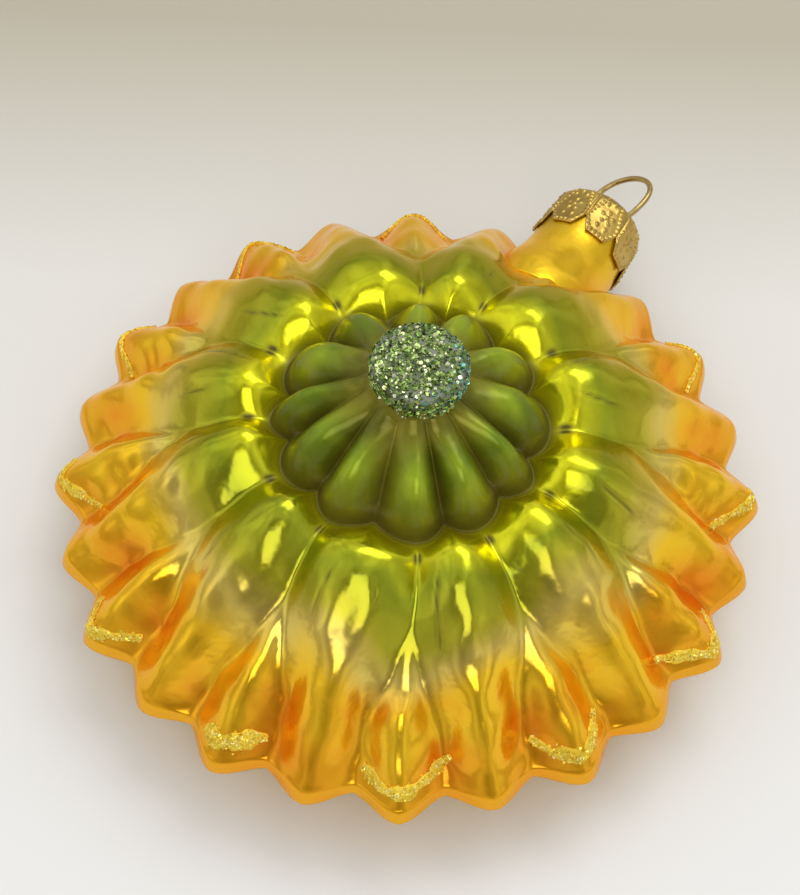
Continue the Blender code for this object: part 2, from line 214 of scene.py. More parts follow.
def petal_height(share, across, rise):
    """Back petals side by side; a rise of 1 lifts the front petals between them to their full height."""
    width = along(BACK_PETAL_WIDTH, share)
    crease = along(CREASE, share)
    outer = smooth(0.60, 0.80, share)
    softness = CREASE_SOFTNESS + 0.6 * outer
    back = crease + (along(BACK_RIDGE, share) - crease) * hump((1 - across) / width, softness)
    ridge = (along(FRONT_RIDGE, share) - crease) * outer * rise
    front = crease + ridge * hump(across / np.maximum(1 - width, 1e-6), softness)
    height = np.where(1 - across <= width, back, front)
    start = groove_share(across)
    inner = np.clip((share - start) / (INNER_END - start), 0.0, 1.0)
    return GROOVE_FLOOR + (height - GROOVE_FLOOR) * (1 - (1 - inner) ** 2.2)


def fold_weight(share, turn):
    """1 along the thin folds of the back petals, two on each."""
    number, offset = back_petal(turn)
    total = 0.0
    for side, first in ((-1, 0), (1, 3)):
        swing, start, end = FOLDS[number, first], FOLDS[number, first + 1], FOLDS[number, first + 2]
        middle = side * (0.20 + 0.12 * swing + 0.26 * np.sin(math.pi * (share - 0.42) / 0.36))
        span = smooth(0.50 + 0.07 * start, 0.54 + 0.07 * start, share)
        span = span * (1 - smooth(0.58 + 0.06 * end, 0.65 + 0.06 * end, share)) * (swing + start > -0.3)
        total = total + span * bell((offset - middle) / FOLD_WIDTH)
    return total


def waves(x, y):
    """Slow unevenness of hand-blown glass, about -1 to 1."""
    rows = zip(WAVE_TURNS, WAVE_NUMBERS, WAVE_STARTS)
    return sum(np.sin(n * (x * math.cos(t) + y * math.sin(t)) + s) for t, n, s in rows) / 6


def glass_points(share, turn, height):
    """Points at shares and turns; the petals' tips and valleys grow out of a round middle."""
    radius = share * (1 - smooth(0.6, 1.0, share) * (1 - outline(turn)))
    x, y = radius * np.sin(turn), radius * np.cos(turn)
    return np.stack([x * TIP, y * TIP, RIM + height * TIP], axis=-1)


def by_hand(share, turn):
    """The turn at which the mould's form is read, so that lobes and petals' inner ends differ in width."""
    wander = 0.045 * np.sin(3 * turn + 0.7) + 0.030 * np.sin(7 * turn + 2.1)
    return turn + (1 - smooth(0.40, 0.78, share)) * wander


def back_points(share, turn):
    """Points on the back of the glass, with its folds and its unevenness."""
    across = phase(by_hand(share, turn))
    rise = np.abs(np.remainder(turn + math.pi, 2 * math.pi) - math.pi) > PITCH / 2  # none under the neck
    outside = smooth(-0.024, 0.020, share - groove_share(across))
    height = lobe_height(share, across) * (1 - outside) + petal_height(share, across, rise) * outside
    uneven = waves(share * np.sin(turn), share * np.cos(turn))
    swell = smooth(0.12, 0.30, share) * (1 - smooth(0.92, 1.0, share))
    swell = swell * (0.3 + 0.7 * smooth(0.48, 0.68, share))
    height = height + WAVE_HEIGHT * swell * uneven
    return glass_points(share, turn, height - FOLD_DEPTH * fold_weight(share, turn))


def on_back(share, turn):
    """(points, outward normals) on the back of the glass."""
    step = 0.004
    points = back_points(share, turn)
    inward = back_points(share - step, turn) - points
    sideways = back_points(share, turn + step) - points
    return points, unit(np.cross(inward, sideways))


def seed_relief(points):
    """1 on the crowns of the seeds, packed in spirals on the disc, and 0 between them."""
    number = np.arange(SEEDS)
    turn, radius = number * SEED_STEP, SEED_SPREAD * np.sqrt(number + 0.5)
    x, y = radius * np.sin(turn), radius * np.cos(turn)
    apart = np.min(np.hypot(points[:, None, 0] - x, points[:, None, 1] - y), axis=1)
    return np.clip(1 - (apart / SEED_RADIUS) ** 2, 0.0, 1.0) ** 0.6


def face_points(share, turn):
    """Points on the side that the flower lies on: a disc of seeds, with low petals round it."""
    across = phase(turn)
    ridge, crease = along(FACE_RIDGE, share), along(FACE_CREASE, share)
    points = glass_points(share, turn, np.maximum(ridge + (crease - ridge) * across**2, -RIM / TIP))
    disc = 1 - smooth(*DISC_EDGE, share)
    inside = disc > 0
    points[inside, 2] += SEED_DEPTH * disc[inside] * (1 - seed_relief(points[inside]))
    return points


# ---------------------------------------------------------------- mesh helpers

def mesh_piece(name, points, faces, finishes, layers=(), second=0):
    """A mesh object with float attributes on its points; the last `second` faces are flat flakes."""
    mesh = bpy.data.meshes.new(name)
    corners = [tuple(map(int, face)) for face in faces]
    mesh.from_pydata(np.asarray(points, float).reshape(-1, 3).tolist(), [], corners)
    for label, values in layers:
        layer = mesh.attributes.new(label, "FLOAT", "POINT")
        layer.data.foreach_set("value", np.asarray(values, np.float32).ravel())
    for finish in finishes:
        mesh.materials.append(finish)
    later = np.arange(len(faces)) >= len(faces) - second
    mesh.polygons.foreach_set("use_smooth", ~later)
    mesh.polygons.foreach_set("material_index", later.astype(np.int32))
    obj = bpy.data.objects.new(name, mesh)
    bpy.context.scene.collection.objects.link(obj)
    return obj


def ring_faces(rows, columns, facing=1):
    """Quads between closed rings of points, and fans to the two poles, which are the points after them.

    With facing -1 the faces are turned over.
    """
    faces = []
    for row in range(rows - 1):
        for column in range(columns):
            beside = (column + 1) % columns
            a, b = row * columns, (row + 1) * columns
            faces.append((a + column, a + beside, b + beside, b + column))
    last, first_pole = (rows - 1) * columns, rows * columns
    for column in range(columns):
        beside = (column + 1) % columns
        faces.append((first_pole, beside, column))
        faces.append((first_pole + 1, last + column, last + beside))
    return [face[::facing] for face in faces]


def tube(path, radius, sides, normal):
    """(points, faces) of a closed tube of round section along a path; normal is any direction across it."""
    path = np.asarray(path, float)
    tangent = unit(np.gradient(path, axis=0))
    first = unit(np.cross(tangent, normal))
    second = np.cross(first, tangent)
    angles = np.arange(sides) * 2 * math.pi / sides
    ring = first[:, None] * np.cos(angles)[:, None] + second[:, None] * np.sin(angles)[:, None]
    points = np.concatenate([(path[:, None] + radius * ring).reshape(-1, 3), path[:1], path[-1:]])
    return points, ring_faces(len(path), sides)


FLAKE_HALF = 0.00003
FLAKE_POINTS = 12


def platelets(centres, normals, sizes, tilt):
    """(points, faces) of small six-sided flakes, each tilted at random off the surface under it."""
    count = len(centres)
    normals = unit(normals + chance.normal(scale=tilt, size=(count, 3)))
    aside = unit(np.cross(normals, chance.normal(size=(count, 3))))
    ahead = np.cross(normals, aside)
    angles = np.arange(6)[:, None] * math.pi / 3
    spread = np.cos(angles) * aside[:, None] + np.sin(angles) * ahead[:, None]
    ring = centres[:, None] + sizes[:, None, None] * spread
    half = FLAKE_HALF * normals[:, None]
    points = np.concatenate([ring + half, ring - half], axis=1).reshape(-1, 3)
    sides = [(i, i + 6, (i + 1) % 6 + 6, (i + 1) % 6) for i in range(6)]
    one = [(0, 1, 2, 3, 4, 5), (11, 10, 9, 8, 7, 6), *sides]
    return points, [tuple(FLAKE_POINTS * flake + i for i in face) for flake in range(count) for face in one]


def glittered(name, base, flakes, values, finishes):
    """One piece from a bed of glue and the flakes stuck in it, each flake with one value of its own."""
    points = np.concatenate([base[0], flakes[0]])
    faces = [*base[1], *[tuple(len(base[0]) + i for i in face) for face in flakes[1]]]
    layer = np.concatenate([np.zeros(len(base[0])), np.repeat(values, FLAKE_POINTS)])
    return mesh_piece(name, points, faces, finishes, [("flake", layer)], second=len(flakes[1]))


# ---------------------------------------------------------------- materials

def new_material(name):
    made = bpy.data.materials.new(name)
    made.use_nodes = True
    tree = made.node_tree
    return made, tree, tree.nodes["Principled BSDF"]


def node(tree, kind, **settings):
    """A shader node with its inputs or its properties set by name."""
    made = tree.nodes.new(kind)
    for key, value in settings.items():
        if key in made.inputs:
            made.inputs[key].default_value = value
        else:
            setattr(made, key, value)
    return made


def attribute(tree, name):
    """A float that the mesh carries on its points."""
    return node(tree, "ShaderNodeAttribute", attribute_name=name).outputs["Fac"]


def ramp(tree, factor, stops):
    made = node(tree, "ShaderNodeValToRGB")
    elements = made.color_ramp.elements
    while len(elements) < len(stops):
        elements.new(0.5)
    for element, (place, colour) in zip(elements, stops):
        element.position = place
        element.color = (*colour, 1.0)
    tree.links.new(factor, made.inputs["Fac"])
    return made.outputs["Color"]


def blend_colour(tree, factor, first, second, mode="MIX"):
    made = node(tree, "ShaderNodeMix", data_type="RGBA", blend_type=mode)
    for value, socket in ((factor, made.inputs[0]), (first, made.inputs[6]), (second, made.inputs[7])):
        if isinstance(value, (int, float)):
            socket.default_value = value
        elif isinstance(value, tuple):
            socket.default_value = (*value, 1.0)
        else:
            tree.links.new(value, socket)
    return made.outputs[2]


def math_node(tree, operation, *values):
    made = node(tree, "ShaderNodeMath", operation=operation)
    for value, socket in zip(values, made.inputs):
        if isinstance(value, (int, float)):
            socket.default_value = value
        else:
            tree.links.new(value, socket)
    return made.outputs[0]


def scaled(tree, value, low, high):
    """A value of 0 to 1, taken to the range low to high."""
    return math_node(tree, "MULTIPLY_ADD", value, high - low, low)


def noise(tree, scale, detail=2.0, roughness=0.5):
    place = node(tree, "ShaderNodeTexCoord").outputs["Object"]
    made = node(tree, "ShaderNodeTexNoise", Scale=scale, Detail=detail, Roughness=roughness)
    tree.links.new(place, made.inputs["Vector"])
    return made.outputs["Fac"]


def bump(tree, height, distance, strength):
    made = node(tree, "ShaderNodeBump", Strength=strength, Distance=distance)
    tree.links.new(height, made.inputs["Height"])
    return made.outputs["Normal"]


# Lacquer colours, with the painted shade of the grooves and creases and the painted highlight on the calyx
# lobes
# Painted shade colour, laid into the groove round the calyx, the creases between its lobes and the petals'
# hooks and folds
PAINTED_SHADE_BROWN = (0.085, 0.072, 0.006)
CALYX_OLIVE = (0.165, 0.160, 0.012)
# Painted highlight colour: a lighter green on the crown of each calyx lobe
LOBE_HIGHLIGHT_GREEN = (0.265, 0.390, 0.016)
LIME = (0.740, 0.720, 0.008)
MOSS = (0.310, 0.355, 0.010)
OLIVE = (0.480, 0.440, 0.020)
STRAW = (0.760, 0.580, 0.120)
GOLD = (0.970, 0.610, 0.016)
AMBER = (0.900, 0.440, 0.008)
ORANGE = (0.900, 0.245, 0.003)
SEED_BROWN, SEED_DARK = (0.110, 0.050, 0.008), (0.05, 0.018, 0.004)
PETAL_STOPS = (
    (0.36, LIME), (0.42, LIME), (0.51, MOSS), (0.61, OLIVE), (0.69, STRAW), (0.77, GOLD), (0.87, GOLD),
    (0.98, AMBER),
)


def lacquer_and_painted_light(tree, calyx, dark):
    """Green heart, yellow petals, orange tips and creases, a green calyx with a painted highlight on each
    lobe, brown seeds, and painted shade in the groove, creases and folds.
    """
    reach = math_node(tree, "ADD", attribute(tree, "share"), scaled(tree, noise(tree, 60.0), -0.13, 0.13))
    petals = ramp(tree, reach, PETAL_STOPS)
    patches = ramp(tree, noise(tree, 75.0, 3.0), ((0.40, (0.15, 0.15, 0.15)), (0.58, (1, 1, 1))))
    orange = math_node(tree, "MULTIPLY", attribute(tree, "valley"), patches)
    petals = blend_colour(tree, orange, petals, ORANGE)
    # Painted highlight: the crown of each calyx lobe turns a lighter green
    lobes = blend_colour(tree, attribute(tree, "core"), CALYX_OLIVE, LOBE_HIGHLIGHT_GREEN)
    mottle = ramp(tree, noise(tree, 130.0, 3.0), ((0.38, (0.55, 0.60, 0.55)), (0.62, (1.20, 1.12, 1.0))))
    lobes = blend_colour(tree, 1.0, lobes, mottle, "MULTIPLY")
    # Painted shade and painted dark reflections darken the groove, the lobes' creases, the petals' hooks and
    # their folds
    colour = blend_colour(tree, dark, blend_colour(tree, calyx, petals, lobes), PAINTED_SHADE_BROWN)
    seeds = ramp(tree, noise(tree, 400.0, 3.0), ((0.35, SEED_DARK), (0.65, SEED_BROWN)))
    return blend_colour(tree, attribute(tree, "disc"), colour, seeds)


def lacquered_glass():
    """Silvered glass under airbrushed lacquer, which hides the silver on the calyx; the silver is also
    dulled and roughened where shade is painted into the groove and creases.
    """
    made, tree, shader = new_material("lacquered_glass")
    calyx, dark = attribute(tree, "calyx"), attribute(tree, "dark")
    tree.links.new(lacquer_and_painted_light(tree, calyx, dark), shader.inputs["Base Color"])
    silver = scaled(tree, attribute(tree, "share"), 1.00, 0.68)
    for cover, left in ((dark, 0.30), (calyx, 0.40)):
        silver = math_node(tree, "MULTIPLY", silver, scaled(tree, cover, 1.0, left))
    tree.links.new(silver, shader.inputs["Metallic"])
    satin = scaled(tree, noise(tree, 220.0, 3.0), 0.08, 0.32)
    for cover, more in ((calyx, 0.12), (dark, 0.45)):
        satin = math_node(tree, "ADD", satin, scaled(tree, cover, 0.0, more))
    tree.links.new(satin, shader.inputs["Roughness"])
    shader.inputs["Specular Tint"].default_value = (1.0, 0.74, 0.22, 1.0)
    shader.inputs["Coat Weight"].default_value = 0.25
    shader.inputs["Coat Roughness"].default_value = 0.05
    tree.links.new(bump(tree, noise(tree, 170.0, 3.0), 0.0005, 0.45), shader.inputs["Normal"])
    return made


def flake_finish(name, metallic, stops):
    """Flakes that each take one colour from the stops."""
    made, tree, shader = new_material(name)
    tree.links.new(ramp(tree, attribute(tree, "flake"), stops), shader.inputs["Base Color"])
    shader.inputs["Metallic"].default_value = metallic
    shader.inputs["Roughness"].default_value = 0.18
    return made


def glue(name, low, high, metallic):
    """A bed of glue full of fine glitter."""
    made, tree, shader = new_material(name)
    tint = ramp(tree, noise(tree, 260.0, 3.0), ((0.35, low), (0.65, high)))
    tree.links.new(tint, shader.inputs["Base Color"])
    shader.inputs["Metallic"].default_value = metallic
    shader.inputs["Roughness"].default_value = 0.42
    tree.links.new(bump(tree, noise(tree, 1500.0, 3.0), 0.0003, 0.8), shader.inputs["Normal"])
    return made


def gold_metal(name, colour, grain):
    """Gold-coloured metal, a little tarnished; the grain sets the scale of its stains."""
    made, tree, shader = new_material(name)
    stained = tuple(0.75 * c for c in colour)
    tint = ramp(tree, noise(tree, grain, 4.0), ((0.35, stained), (0.65, colour)))
    tree.links.new(tint, shader.inputs["Base Color"])
    shader.inputs["Metallic"].default_value = 1.0
    tree.links.new(scaled(tree, noise(tree, 2 * grain, 3.0), 0.16, 0.36), shader.inputs["Roughness"])
    tree.links.new(bump(tree, noise(tree, 6 * grain, 4.0), 0.00005, 0.3), shader.inputs["Normal"])
    return made


# ---------------------------------------------------------------- glass

def valley_weight(share, turn):
    """How far down the crease between a back petal and a front petal a point lies."""
    across = phase(turn)
    off = (1 - across) - along(BACK_PETAL_WIDTH, share)
    return bell(off / 0.42) * smooth(0.70, 0.86, share) * (1 - 0.6 * smooth(0.92, 0.99, share))


def painted_shade_weight(share, turn):
    """Painted shade and painted dark reflections: the groove round the calyx, the creases between its lobes,
    the petals' hooks and their folds.
    """
    across = phase(by_hand(share, turn))
    groove = 0.80 * bell((share - groove_share(across) + 0.006) / 0.022)
    creases = 0.6 * (1 - hump(across)) ** 3 * smooth(0.19, 0.28, share) * (share < groove_share(across))
    number = np.round(turn / PITCH).astype(int) % PETALS
    hook_share = 0.43 + 0.02 * FOLDS[number, 0]
    hooks = 1.2 * bell((across - 0.05) / 0.06) * bell((share - hook_share) / 0.020)
    return np.clip(groove + creases + hooks + 0.8 * fold_weight(share, turn), 0.0, 1.0)


# Weights on the glass points; two of them are painted light: the shade in the groove and creases, and the
# highlight on the calyx lobes
WEIGHTS = ("share", "calyx", "valley", "dark", "disc", "core")


class Rows:
    """Rings of glass points, from the stub down the back and in over the face, with their weights."""

    def __init__(self):
        self.turns = np.linspace(0, 2 * math.pi, COLUMNS, endpoint=False)
        self.points = []
        self.layers = {label: [] for label in WEIGHTS}

    def add(self, points, **weights):
        self.points.append(points)
        for label, values in self.layers.items():
            values.append(np.broadcast_to(weights.get(label, 0.0), self.turns.shape))

    def piece(self, name, finish, first_pole, last_pole):
        points = np.concatenate([*self.points, [first_pole], [last_pole]])
        layers = []
        for label, values in self.layers.items():
            layers.append((label, np.concatenate([*values, [values[0][0]], [values[-1][0]]])))
        return mesh_piece(name, points, ring_faces(len(self.points), COLUMNS), [finish], layers)


def add_stub(rows):
    """The stub's flat end, its rounded edge and its side, down to the calyx."""
    foot = RIM + along(LOBE_RIDGE, 0.0) * TIP
    profile = [(STUB_RADIUS * 0.5, STUB_TOP)]
    for i in range(6):
        angle = math.pi / 2 * i / 5
        inward, drop = STUB_FILLET * (1 - math.sin(angle)), STUB_FILLET * (1 - math.cos(angle))
        profile.append((STUB_RADIUS - inward, STUB_TOP - drop))
    profile.extend([(STUB_RADIUS, (STUB_TOP + foot) / 2), (STUB_RADIUS + 0.0001, foot + 0.0004)])
    for radius, z in profile:
        x, y = STUB_X + radius * np.sin(rows.turns), STUB_Y + radius * np.cos(rows.turns)
        rows.add(np.stack([x, y, np.full(COLUMNS, z)], axis=-1), share=0.45, calyx=1.0)


# Shares of the rings of points: close together at the groove, at the rim and over the seeds
BACK_SHARES = np.concatenate([
    np.linspace(0.128, 0.30, 36), np.linspace(0.303, 0.50, 72), np.linspace(0.505, 0.95, 100),
    np.linspace(0.953, 0.989, 13), [0.992, 0.995, 0.997, 0.9985, 0.9995],
])
FACE_SHARES = np.concatenate([
    [0.9985, 0.995, 0.99], np.linspace(0.98, 0.44, 60), np.linspace(0.435, 0.02, 110),
])


def add_back(rows, share):
    across = phase(by_hand(share, rows.turns))
    start = groove_share(across)
    rows.add(
        back_points(share, rows.turns),
        share=share,
        valley=valley_weight(share, rows.turns),
        # painted shade of the groove, the lobes' creases, the petals' hooks and their folds
        dark=painted_shade_weight(share, rows.turns),
        calyx=1 - smooth(start - 0.010, start + 0.024, share),
        # painted highlight on the crown of each calyx lobe
        core=bell((share / start - 0.72) / 0.20) * hump(across),
    )


def build_glass(finish):
    """The blown flower in one skin: stub, back, rim and face."""
    rows = Rows()
    add_stub(rows)
    for share in BACK_SHARES:
        add_back(rows, np.full(COLUMNS, share))
    rows.add(glass_points(np.ones(COLUMNS), rows.turns, np.zeros(COLUMNS)), share=1.0, valley=0.35)
    for share in FACE_SHARES:
        share = np.full(COLUMNS, share)
        disc = 1 - smooth(0.42, 0.45, share)
        rows.add(face_points(share, rows.turns), share=np.maximum(share, 0.7), disc=disc)
    piece = rows.piece("blown_glass", finish, (STUB_X, STUB_Y, STUB_TOP), (0, 0, 0.0))
    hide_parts("glass_body")
    return piece


NECK_PROFILE = (  # y, half width, half height
    (0.0360, 0.0090, 0.0112), (0.0395, 0.0093, 0.0106), (0.0420, 0.0088, 0.0096), (0.0440, 0.0081, 0.0087),
    (0.0458, 0.0076, 0.0080), (0.0478, 0.0073, 0.0075), (0.0505, 0.0071, 0.0072), (0.0535, 0.0070, 0.0070),
    (0.0555, 0.0065, 0.0065), (0.0570, 0.0060, 0.0060),
)
NECK_COLUMNS = 120
NECK_LOWER = 0.0078  # most that the neck reaches below its axis, so that it clears the ground


def build_neck(finish):
    """The drawn-out neck: wide where it leaves the petals, round under the cap, with shade painted on it
    next to the cap, deeper on its left side.
    """
    ys, widths, heights = np.array(NECK_PROFILE).T
    turns = np.linspace(0, 2 * math.pi, NECK_COLUMNS, endpoint=False)
    rows = []
    for y in np.linspace(ys[0], ys[-1], 70):
        width, height = along(tuple(zip(ys, widths)), y), along(tuple(zip(ys, heights)), y)
        height = np.where(np.cos(turns) > 0, height, min(height, NECK_LOWER))
        x, z = NECK_X + width * np.sin(turns), RIM + height * np.cos(turns)
        rows.append(np.stack([x, np.full_like(x, y), z], axis=-1))
    points = np.concatenate([*rows, [[NECK_X, ys[0], RIM]], [[NECK_X, ys[-1], RIM]]])
    x, y = points[:, 0], points[:, 1]
    amber = smooth(0.0480, 0.041, y) * smooth(0.003, 0.009, np.abs(x))
    # Painted shade under the cap, all round the neck and deeper on its left side
    painted_neck_shade = (0.15 + 0.35 * smooth(-0.002, 0.006, NECK_X - x)) * smooth(0.044, 0.052, y)
    weights = {"share": np.full(len(y), 0.80), "valley": 0.8 * amber, "dark": painted_neck_shade}
    layers = [(label, weights.get(label, np.zeros(len(y)))) for label in WEIGHTS]
    return mesh_piece("glass_neck", points, ring_faces(len(rows), NECK_COLUMNS, -1), [finish], layers)


# ---------------------------------------------------------------- glitter

CRUST_TURNS = np.linspace(0, 2 * math.pi, 160, endpoint=False)
CRUST_ROWS = 16
CRUST_FLAKES, CRUST_TOP_FLAKES = 2400, 1350
EDGE_INSET, EDGE_ROUND = 0.0010, 0.0008   # where the bed's top starts to turn down, and the bend's radius


def ragged_edge(turns):
    """How far the bed of glue runs down the stub's side."""
    slow = 0.0019 + 0.0005 * np.sin(3 * turns + 0.6)
    return slow + 0.0003 * np.sin(7 * turns) + 0.00025 * np.sin(13 * turns + 1)


def crust_bed():
    """(points, faces) of the bed of glue over the end of the stub, with a ragged lower edge."""
    rows = []
    for step in np.linspace(0.08, 1.0, CRUST_ROWS):
        rows.append(((CRUST_RADIUS - EDGE_INSET) * step, CRUST_TOP - 0.0002))
    for angle in np.radians([20, 45, 70, 90]):
        out, up = EDGE_ROUND * math.sin(angle), EDGE_ROUND * math.cos(angle)
        rows.append((CRUST_RADIUS - EDGE_INSET + out, CRUST_TOP - EDGE_INSET + up))
    for step in (0.25, 0.5, 0.75, 1.0):
        height = CRUST_TOP - EDGE_INSET - ragged_edge(CRUST_TURNS) * step
        rows.append((CRUST_RADIUS - 0.0002 - 0.0004 * step**3, height))
    rows.append((STUB_RADIUS - 0.0004, rows[-1][1]))
    radii, heights = (np.array([row[i] + 0 * CRUST_TURNS for row in rows]) for i in (0, 1))
    uneven = chance.normal(scale=0.00006, size=radii.shape)
    radii[:-1] += uneven[:-1]
    heights[:CRUST_ROWS + 3] += uneven[:CRUST_ROWS + 3]
    x, y = STUB_X + radii * np.sin(CRUST_TURNS), STUB_Y + radii * np.cos(CRUST_TURNS)
    points = np.stack([x, y, heights], axis=-1).reshape(-1, 3)
    poles = [[STUB_X, STUB_Y, CRUST_TOP - 0.0002], [STUB_X, STUB_Y, STUB_TOP - 0.0008]]
    return np.concatenate([points, poles]), ring_faces(len(rows), len(CRUST_TURNS))


def build_crust(finishes):
    """Coarse flakes stuck in a bed of glue, on the end of the stub and round its side."""
    count = CRUST_FLAKES
    base = crust_bed()
    turn = chance.uniform(0, 2 * math.pi, count)
    on_top = np.arange(count) < CRUST_TOP_FLAKES
    spread = (CRUST_RADIUS - 0.0002) * np.sqrt(chance.uniform(0, 1, count))
    radius = np.where(on_top, spread, CRUST_RADIUS - 0.0001)
    over = np.clip((radius - CRUST_RADIUS + EDGE_INSET) / EDGE_ROUND, 0.0, 1.0)
    bend = EDGE_ROUND * (1 - np.sqrt(1 - np.minimum(over, 0.995) ** 2))
    reach = EDGE_ROUND + np.interp(turn, CRUST_TURNS, ragged_edge(CRUST_TURNS), period=2 * math.pi)
    down = EDGE_ROUND + reach * chance.uniform(0, 1, count) ** 1.2
    drop = np.where(on_top, 0.00012 + bend, down)
    out = np.stack([np.sin(turn), np.cos(turn), np.zeros(count)], axis=-1)
    up = np.array([0, 0, 1.0])
    centres = out * radius[:, None] + np.array([STUB_X, STUB_Y, CRUST_TOP]) - drop[:, None] * up
    lean = np.where(on_top, over, 1.0)[:, None]
    normals = out * lean + up * (1.1 - lean)
    values = chance.uniform(0, 0.80, count)
    right_side = bell((turn - math.radians(75)) / 0.9) * smooth(0.0045, 0.0060, radius)
    teal = chance.uniform(0, 1, count) < 0.55 * right_side
    values = np.where(teal, chance.uniform(0.86, 1.0, count), values)
    sizes = 0.00012 + 0.00026 * chance.uniform(0, 1, count) ** 2.2
    piece = glittered("stem_crust", base, platelets(centres, normals, sizes, 0.45), values, finishes)
    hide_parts("stem_glitter")
    return piece


TRIM_COUNT, TRIM_SIDES = 60, 9
TRIM_THICK = 0.00028


def build_trim(number, line, finishes):
    """One hand-laid line of glitter inside a front petal's tip."""
    start, end, out_middle, out_ends, width = line
    count = TRIM_COUNT
    aside = np.linspace(start, end, count)
    reach = max(-start, end)
    wander = 0.004 * np.sin(9 * aside + number) + 0.002 * np.sin(23 * aside + 2 * number)
    share = out_middle - (out_middle - out_ends) * (np.abs(aside) / reach) ** 1.6 + wander * (width / 0.002)
    turn = number * PITCH + aside * PITCH / 2
    middle, normal = on_back(share, turn)
    ahead = unit(np.gradient(middle, axis=0))
    across = np.cross(normal, ahead)
    ends = np.sin(math.pi * np.linspace(0.04, 0.96, count)) ** 0.35
    half = width / 2 * ends * (1 + 0.25 * np.sin(17 * aside + 3 * number) + 0.15 * np.sin(41 * aside))
    ring = []
    for angle in np.linspace(0, 2 * math.pi, TRIM_SIDES, endpoint=False):
        sideways = across * (half * math.cos(angle))[:, None]
        ring.append(middle + sideways + normal * (TRIM_THICK * math.sin(angle)))
    points = np.concatenate([np.stack(ring, axis=1).reshape(-1, 3), middle[:1], middle[-1:]])
    base = (points, ring_faces(count, TRIM_SIDES, -1))
    flakes_count = int(60 + 260 * width / 0.002)
    place = chance.uniform(0, count - 1.001, flakes_count)
    before = place.astype(int)
    off = np.clip(chance.normal(scale=0.50, size=flakes_count), -1.25, 1.25)
    centres = middle[before] + (middle[before + 1] - middle[before]) * (place - before)[:, None]
    rise = 0.00026 * np.sqrt(np.clip(1 - off**2, 0.02, 1))
    centres = centres + across[before] * (off * half[before])[:, None] + normal[before] * rise[:, None]
    flakes = platelets(centres, normal[before], chance.uniform(0.00011, 0.00024, flakes_count), 0.35)
    piece = glittered(f"petal_trim_{number:02d}", base, flakes, chance.uniform(0, 1, flakes_count), finishes)
    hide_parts(f"petal_glitter_{number:02d}")
    return piece


# ---------------------------------------------------------------- cap and wire

SCALES = 8
SCALE_TURN = math.radians(21)
SCALE_HALF = math.pi / SCALES
SCALE_FLAT = math.radians(12.5)
NOTCH_DEPTH = 0.0026
NOTCH_Y = CAP_EDGE + NOTCH_DEPTH
CAP_PROFILE = (  # drop from the top, radius
    (0.0000, 0.0051), (0.0004, 0.0065), (0.0014, 0.0074), (0.0029, 0.0079), (0.0060, 0.0081),
    (0.0086, 0.0083),
)
CAP_COLUMNS, CAP_ROWS = 480, 96
CAP_RINGS = (0.0006, 0.0014, 0.0024, 0.0034, 0.0042)  # radii on the cap's dished top
SHEET = 0.00030
BEAD_PITCH, BEAD_INSET = 0.00074, 0.00046
FLOWER_UP, FLOWER_RADIUS = 0.0040, 0.00100


def scale_offset(turn):
    """Angle from the middle of the nearest scale, -22.5 to 22.5 degrees."""
    return (turn - SCALE_TURN + SCALE_HALF) % (2 * SCALE_HALF) - SCALE_HALF


def edge_y(turn):
    """Lower edge of the skirt: flat ends of the scales, with a notch between each two."""
    off = np.abs(scale_offset(turn))
    return CAP_EDGE + (NOTCH_Y - CAP_EDGE) * np.clip((off - SCALE_FLAT) / (SCALE_HALF - SCALE_FLAT), 0, 1)


def bead(across, high, pair=0.0, spread=0.0002, tall=0.0003):
    """A raised dot at a height on the scale, or two of them when pair is their distance from its middle."""
    side, up = across
    return bell((np.abs(side) - pair) / spread) * bell((up - high) / tall)


def stamping(side, up):
    """Relief of one scale, from its middle line and its lower end: beaded borders round a small flower."""
    above = 0.0033 - 0.0016 * smooth(NOTCH_DEPTH, 0.0085, up)
    half = np.where(up < NOTCH_DEPTH, 0.0018 + 0.0015 * up / NOTCH_DEPTH, above)
    inset = half - np.abs(side)
    border = bell((inset - BEAD_INSET) / 0.00023) * np.sin(math.pi * up / BEAD_PITCH) ** 2
    lower = bell((up - 0.00050) / 0.00024) * np.sin(math.pi * side / 0.00080) ** 2 * (np.abs(side) < 0.0017)
    radius, angle = np.hypot(side, up - FLOWER_UP), np.arctan2(side, up - FLOWER_UP)
    petals = bell((radius - FLOWER_RADIUS) / 0.00034) * np.cos(2.5 * angle) ** 6
    flower = petals + bell(radius / 0.00034)
    place = (side, up)
    leaves = bead(place, 0.0019, pair=0.0008, spread=0.00024, tall=0.00036)
    buds = bead(place, 0.0063, pair=0.0010) + bead(place, 0.0071, tall=0.0004)
    return np.clip(border + lower + 0.9 * flower + 0.8 * leaves + 0.8 * buds, 0, 1.2)


def cap_skirt(turns, step):
    """(radii, heights along the neck) of one ring of the skirt: step 0 is the top and 1 the scales' ends."""
    off = scale_offset(turns)
    y = CAP_TOP - step * (CAP_TOP - edge_y(turns))
    drop = CAP_TOP - y
    radius = along(CAP_PROFILE, drop) * CAP_RADIUS / CAP_PROFILE[-1][1]
    flat = smooth(0.0010, 0.0030, drop)
    facet = radius * (1 - 0.55 * flat * (1 - math.cos(SCALE_HALF) / np.cos(off)) - 0.012 * flat)
    seam = bell((np.abs(off) - SCALE_HALF) / 0.030) * smooth(0.0006, 0.0018, drop)
    relief = stamping(radius * off, y - CAP_EDGE) * smooth(0.0005, 0.0012, drop)
    return facet - 0.00030 * seam + 0.00024 * relief - 0.00016, y


